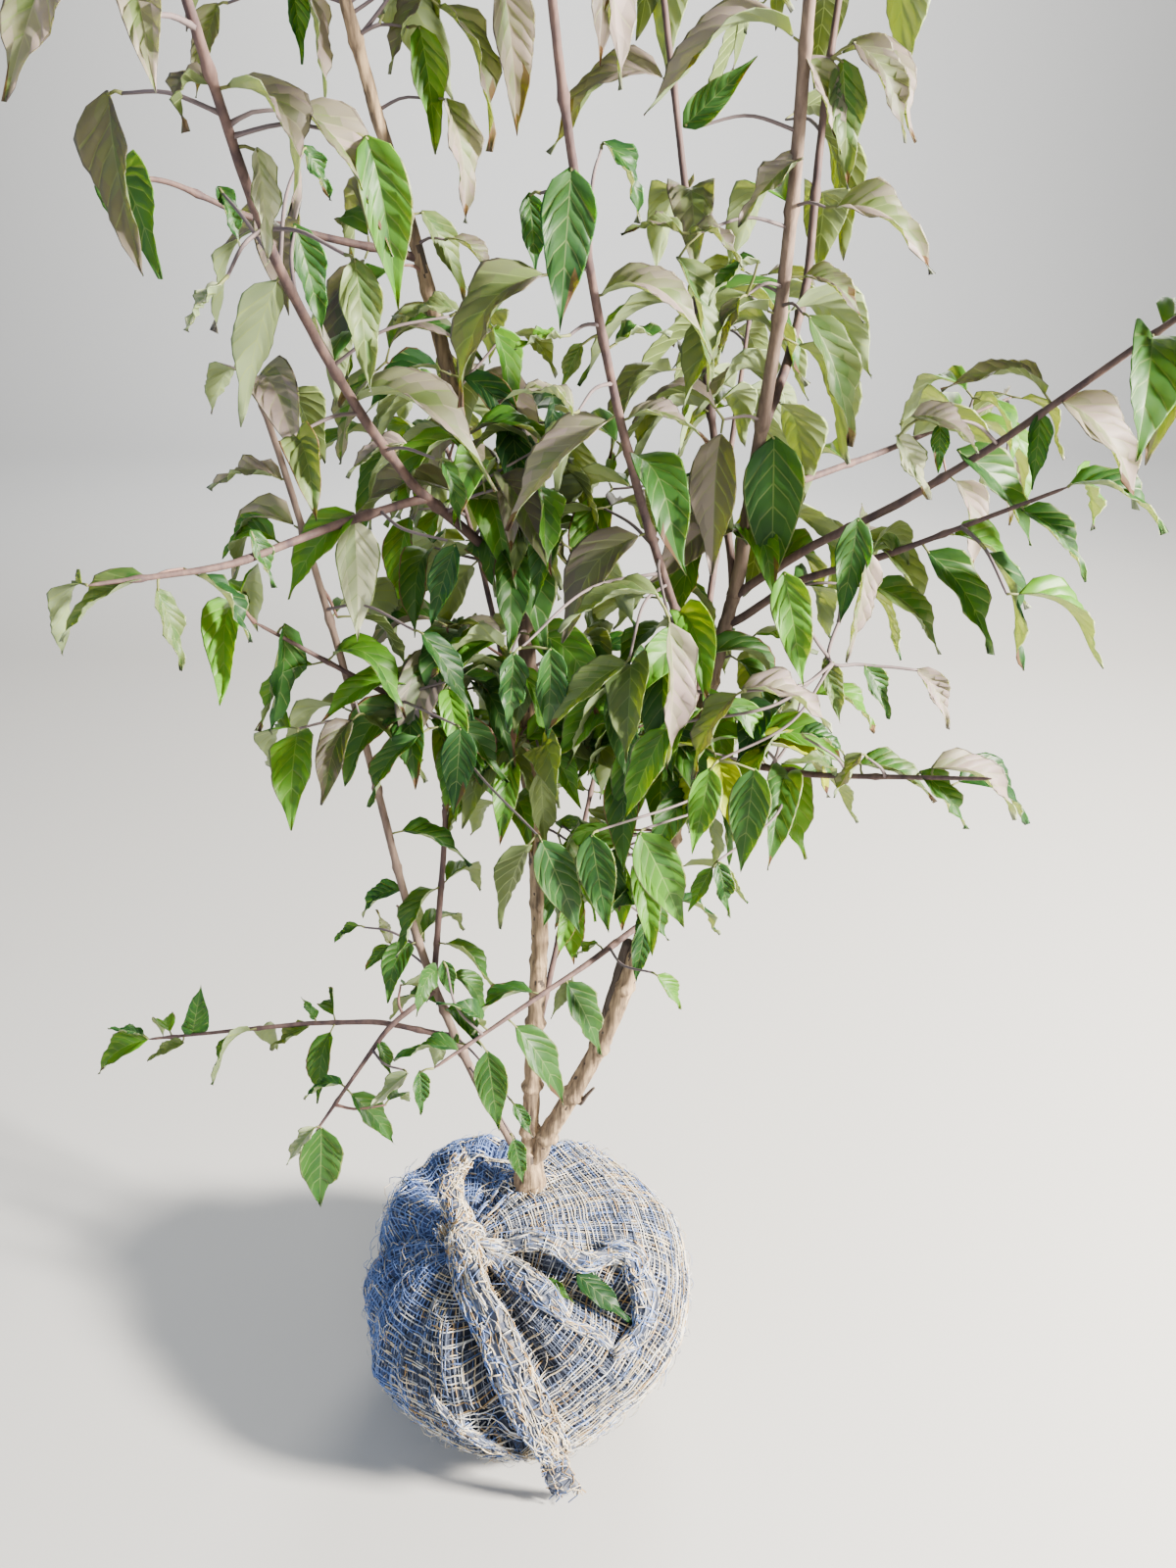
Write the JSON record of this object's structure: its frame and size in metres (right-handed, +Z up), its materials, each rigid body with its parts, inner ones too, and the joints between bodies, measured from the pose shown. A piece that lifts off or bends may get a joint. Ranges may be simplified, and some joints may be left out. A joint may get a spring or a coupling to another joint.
{
  "type": "balled dogwood shrub",
  "caption": "Young dogwood shrub with several stems, arching leafy shoots and a round root ball wrapped in knotted burlap, standing ready for planting.",
  "frame": {"origin": "centre of the flat underside of the root ball, on the surface it stands on", "axes": "+Z up along the stems, +X to the right and +Y to the back as seen from the front, where the cloth's loose tail hangs"},
  "size_m": [1.0021, 0.8053, 1.8117],
  "materials": {
    "soil_ball": "moist soil under a coarse woven cloth",
    "burlap": "coarse open weave in grey, pale blue and beige threads",
    "bark": "tan bark with fine grey cracks",
    "shoot_bark": "smooth red-brown young bark",
    "leaf": "soft green leaf with deep curved veins"
  },
  "bodies": {
    "root": {"burlap_band": "burlap", "burlap_knot": "burlap", "burlap_ridge": "burlap", "burlap_tail_down": "burlap", "burlap_tail_up": "burlap", "leaves_back_mid": "leaf", "leaves_back_top": "leaf", "leaves_centre_high": "leaf", "leaves_centre_left": "leaf", "leaves_centre_right": "leaf", "leaves_centre_top": "leaf", "leaves_far_top": "leaf", "leaves_front_low": "leaf", "leaves_front_top": "leaf", "leaves_left_high": "leaf", "leaves_left_inner": "leaf", "leaves_left_tip": "leaf", "leaves_low_far": "leaf", "leaves_low_front": "leaf", "leaves_low_left": "leaf", "leaves_low_stem": "leaf", "leaves_mid_top": "leaf", "leaves_rear_left": "leaf", "leaves_rear_low": "leaf", "leaves_rear_right": "leaf", "leaves_right_droop": "leaf", "leaves_right_end": "leaf", "leaves_right_far": "leaf", "leaves_right_high": "leaf", "leaves_right_inner": "leaf", "leaves_right_low": "leaf", "leaves_right_top": "leaf", "leaves_skirt": "leaf", "leaves_upright_mid": "leaf", "leaves_upright_top": "leaf", "root_ball": "soil_ball", "shoot_left_high": "shoot_bark", "shoot_left_mid": "shoot_bark", "shoot_low_far": "shoot_bark", "shoot_low_front": "shoot_bark", "shoot_low_left": "shoot_bark", "shoot_rear_left": "shoot_bark", "shoot_rear_low": "shoot_bark", "shoot_rear_right": "shoot_bark", "shoot_right_droop": "shoot_bark", "shoot_right_far": "shoot_bark", "shoot_right_high": "shoot_bark", "shoot_right_low": "shoot_bark", "shoot_top_left": "shoot_bark", "stem_back": "bark", "stem_centre": "shoot_bark", "stem_far": "bark", "stem_front": "shoot_bark", "stem_left": "bark", "stem_mid": "bark", "stem_right": "bark", "stem_thin": "bark", "stem_thin_inner": "bark", "stem_upright": "bark", "stock": "bark"}
  },
  "joints": []
}
